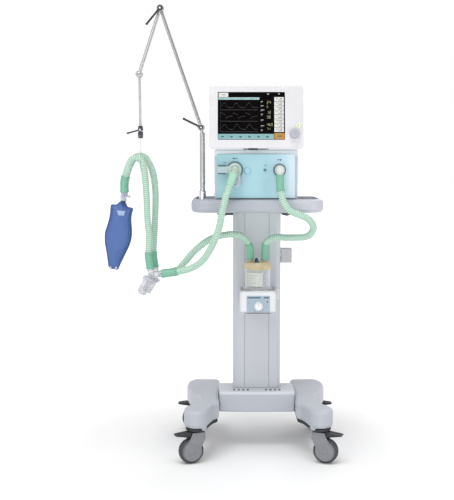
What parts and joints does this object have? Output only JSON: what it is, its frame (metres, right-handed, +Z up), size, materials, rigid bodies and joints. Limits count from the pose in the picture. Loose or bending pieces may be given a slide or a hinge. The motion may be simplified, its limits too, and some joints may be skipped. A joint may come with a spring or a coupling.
{
  "type": "mechanical ventilator",
  "caption": "Hospital ventilator on a wheeled trolley, with tilting screen, heated humidifier, jointed support arm, corrugated hoses, water traps and a test-lung bag.",
  "frame": {"origin": "on the floor, below the middle of the trolley with its arm and casters, left out the hoses and what hangs on them", "axes": "+X to the right as seen by the user facing the screen, +Y away from the user, +Z up"},
  "size_m": [0.8653, 0.5281, 1.6253],
  "materials": {
    "painted_grey": "satin",
    "light_plastic": "satin",
    "dark_plastic": "satin",
    "caster_grey": "satin",
    "tyre": "matte",
    "cyan_plastic": "satin",
    "screen": "gloss",
    "knob_plastic": "satin",
    "lit_key": "gloss",
    "white_plastic": "gloss",
    "clear_plastic": "gloss",
    "amber_plastic": "gloss",
    "blue_plastic": "satin",
    "steel": "satin",
    "hose": "satin",
    "bag_rubber": "matte"
  },
  "bodies": {
    "trolley": {"base_crossbar": "painted_grey", "base_leg_left": "painted_grey", "base_leg_right": "painted_grey", "column_shell": "painted_grey", "column_rear_cover": "light_plastic", "side_bracket": "light_plastic", "tray_support_plate": "dark_plastic", "tray": "painted_grey", "main_housing": "light_plastic", "front_panel": "cyan_plastic", "rear_panel": "dark_plastic", "monitor_bracket": "painted_grey", "exp_valve_body": "clear_plastic", "insp_port_collar": "dark_plastic", "insp_elbow": "white_plastic", "gas_port_cap": "cyan_plastic", "humidifier_bracket": "light_plastic", "heater_base": "white_plastic", "water_chamber": "clear_plastic", "chamber_lid": "amber_plastic", "fill_port_cap": "blue_plastic", "arm_socket": "steel", "hose_unit_to_humidifier": "hose"},
    "monitor": {"monitor_bezel": "light_plastic", "screen_glass": "screen", "monitor_rear_housing": "light_plastic"},
    "encoder_shaft": {"encoder_shaft": "steel"},
    "encoder_knob": {"encoder_knob": "knob_plastic"},
    "alarm_key": {"alarm_key": "lit_key"},
    "exp_valve_lever": {"exp_valve_lever": "light_plastic"},
    "humidifier_knob": {"humidifier_knob": "white_plastic"},
    "arm_post": {"arm_post": "steel"},
    "arm_lower": {"arm_lower_tube": "steel"},
    "arm_upper": {"arm_upper_tube": "steel"},
    "arm_drop": {"drop_rod": "steel", "clamp_block": "dark_plastic"},
    "lever_low": {"lever_low": "dark_plastic"},
    "lever_top": {"lever_top": "dark_plastic"},
    "lever_clamp": {"lever_clamp": "dark_plastic"},
    "traps": {"water_trap_a": "clear_plastic", "water_trap_b": "clear_plastic", "hose_humidifier_to_trap": "hose", "hose_trap_to_valve": "hose"},
    "circuit": {"y_piece": "clear_plastic", "test_lung": "bag_rubber", "hanger_string": "hose", "limb_front": "hose", "limb_rear": "hose"},
    "caster_front_left": {"caster_fork_front_left": "caster_grey"},
    "wheel_front_left": {"caster_wheel_front_left": "tyre"},
    "pedal_front_left": {"caster_pedal_front_left": "dark_plastic"},
    "caster_front_right": {"caster_fork_front_right": "caster_grey"},
    "wheel_front_right": {"caster_wheel_front_right": "tyre"},
    "pedal_front_right": {"caster_pedal_front_right": "dark_plastic"},
    "caster_rear_left": {"caster_fork_rear_left": "caster_grey"},
    "wheel_rear_left": {"caster_wheel_rear_left": "tyre"},
    "pedal_rear_left": {"caster_pedal_rear_left": "dark_plastic"},
    "caster_rear_right": {"caster_fork_rear_right": "caster_grey"},
    "wheel_rear_right": {"caster_wheel_rear_right": "tyre"},
    "pedal_rear_right": {"caster_pedal_rear_right": "dark_plastic"}
  },
  "joints": [
    {"name": "swivel_front_left", "type": "hinge", "parent": "trolley", "child": "caster_front_left", "pos_m": [-0.126, -0.221, 0.05], "axis": [0, 0, 1], "continuous": true},
    {"name": "roll_front_left", "type": "hinge", "parent": "caster_front_left", "child": "wheel_front_left", "pos_m": [-0.15513, -0.2316, 0.045], "axis": [0.342, -0.9397, 0], "continuous": true},
    {"name": "brake_front_left", "type": "hinge", "parent": "caster_front_left", "child": "pedal_front_left", "pos_m": [-0.15325, -0.23092, 0.104], "axis": [0.342, -0.9397, 0], "range_deg": [0, 10]},
    {"name": "swivel_front_right", "type": "hinge", "parent": "trolley", "child": "caster_front_right", "pos_m": [0.296, -0.221, 0.05], "axis": [0, 0, 1], "continuous": true},
    {"name": "roll_front_right", "type": "hinge", "parent": "caster_front_right", "child": "wheel_front_right", "pos_m": [0.32513, -0.2316, 0.045], "axis": [0.342, 0.9397, 0], "continuous": true},
    {"name": "brake_front_right", "type": "hinge", "parent": "caster_front_right", "child": "pedal_front_right", "pos_m": [0.32325, -0.23092, 0.104], "axis": [0.342, 0.9397, 0], "range_deg": [0, 10]},
    {"name": "swivel_rear_left", "type": "hinge", "parent": "trolley", "child": "caster_rear_left", "pos_m": [-0.13, 0.217, 0.05], "axis": [0, 0, 1], "continuous": true},
    {"name": "roll_rear_left", "type": "hinge", "parent": "caster_rear_left", "child": "wheel_rear_left", "pos_m": [-0.16098, 0.21592, 0.045], "axis": [0.0349, -0.9994, 0], "continuous": true},
    {"name": "brake_rear_left", "type": "hinge", "parent": "caster_rear_left", "child": "pedal_rear_left", "pos_m": [-0.15898, 0.21599, 0.104], "axis": [0.0349, -0.9994, 0], "range_deg": [0, 10]},
    {"name": "swivel_rear_right", "type": "hinge", "parent": "trolley", "child": "caster_rear_right", "pos_m": [0.3, 0.217, 0.05], "axis": [0, 0, 1], "continuous": true},
    {"name": "roll_rear_right", "type": "hinge", "parent": "caster_rear_right", "child": "wheel_rear_right", "pos_m": [0.33098, 0.21592, 0.045], "axis": [0.0349, 0.9994, 0], "continuous": true},
    {"name": "brake_rear_right", "type": "hinge", "parent": "caster_rear_right", "child": "pedal_rear_right", "pos_m": [0.32898, 0.21599, 0.104], "axis": [0.0349, 0.9994, 0], "range_deg": [0, 10]},
    {"name": "monitor_tilt", "type": "hinge", "parent": "trolley", "child": "monitor", "pos_m": [0.076, -0.13, 1.15], "axis": [1, 0, 0], "range_deg": [-20, 5]},
    {"name": "encoder_press", "type": "slide", "parent": "monitor", "child": "encoder_shaft", "axis": [0, 0.9848, -0.1736], "range_m": [0, 0.0008], "stiffness_N_per_m": 600},
    {"name": "encoder_turn", "type": "hinge", "parent": "encoder_shaft", "child": "encoder_knob", "pos_m": [0.21, -0.18914, 1.16764], "axis": [0, 0.9848, -0.1736], "continuous": true},
    {"name": "alarm_key_press", "type": "slide", "parent": "monitor", "child": "alarm_key", "axis": [0, 0.9848, -0.1736], "range_m": [0, 0.0008], "stiffness_N_per_m": 400},
    {"name": "exp_valve_turn", "type": "hinge", "parent": "trolley", "child": "exp_valve_lever", "pos_m": [0.0004, -0.185, 1.0418], "axis": [0, 1, 0], "range_deg": [0, 40]},
    {"name": "humidifier_knob_turn", "type": "hinge", "parent": "trolley", "child": "humidifier_knob", "pos_m": [0.0863, -0.15, 0.551], "axis": [0, 1, 0], "range_deg": [0, 270]},
    {"name": "arm_swivel", "type": "hinge", "parent": "trolley", "child": "arm_post", "pos_m": [-0.1153, -0.095, 1], "axis": [0, 0, 1], "range_deg": [-20, 20]},
    {"name": "arm_fold", "type": "hinge", "parent": "arm_post", "child": "arm_lower", "pos_m": [-0.12, -0.0882, 1.192], "axis": [0, 1, 0], "range_deg": [-8, 8]},
    {"name": "arm_elbow", "type": "hinge", "parent": "arm_lower", "child": "arm_upper", "pos_m": [-0.2643, -0.1018, 1.6128], "axis": [0, 1, 0], "range_deg": [-6.62, 6.62]},
    {"name": "drop_pivot", "type": "hinge", "parent": "arm_upper", "child": "arm_drop", "pos_m": [-0.3409, -0.0882, 1.3809], "axis": [0, 1, 0], "range_deg": [-14.62, 14.62]},
    {"name": "lock_low", "type": "hinge", "parent": "arm_post", "child": "lever_low", "pos_m": [-0.12, -0.1085, 1.192], "axis": [0, 1, 0], "range_deg": [-30, 30]},
    {"name": "lock_top", "type": "hinge", "parent": "arm_upper", "child": "lever_top", "pos_m": [-0.2643, -0.1085, 1.6128], "axis": [0, 1, 0], "range_deg": [-20, 30]},
    {"name": "lock_clamp", "type": "hinge", "parent": "arm_drop", "child": "lever_clamp", "pos_m": [-0.3387, -0.0978, 1.184], "axis": [0, 1, 0], "range_deg": [-25, 30]},
    {"name": "hose_swing", "type": "hinge", "parent": "trolley", "child": "traps", "pos_m": [-0.1153, -0.095, 0.66], "axis": [0, 0, 1], "range_deg": [-20.2, 20.2], "deforming": ["hose_humidifier_to_trap", "hose_trap_to_valve"]},
    {"name": "circuit_lift", "type": "slide", "parent": "traps", "child": "circuit", "axis": [0, 0, 1], "range_m": [-0.0402, 0.0402], "deforming": ["limb_front", "limb_rear", "hanger_string"]}
  ],
  "couplings": [
    {"joint": "arm_elbow", "follows": "arm_fold", "ratio": 0.81458},
    {"joint": "drop_pivot", "follows": "arm_fold", "ratio": -1.8146},
    {"joint": "circuit_lift", "follows": "arm_fold", "m_per_rad": 0.2833},
    {"joint": "hose_swing", "follows": "arm_swivel", "ratio": 1}
  ]
}
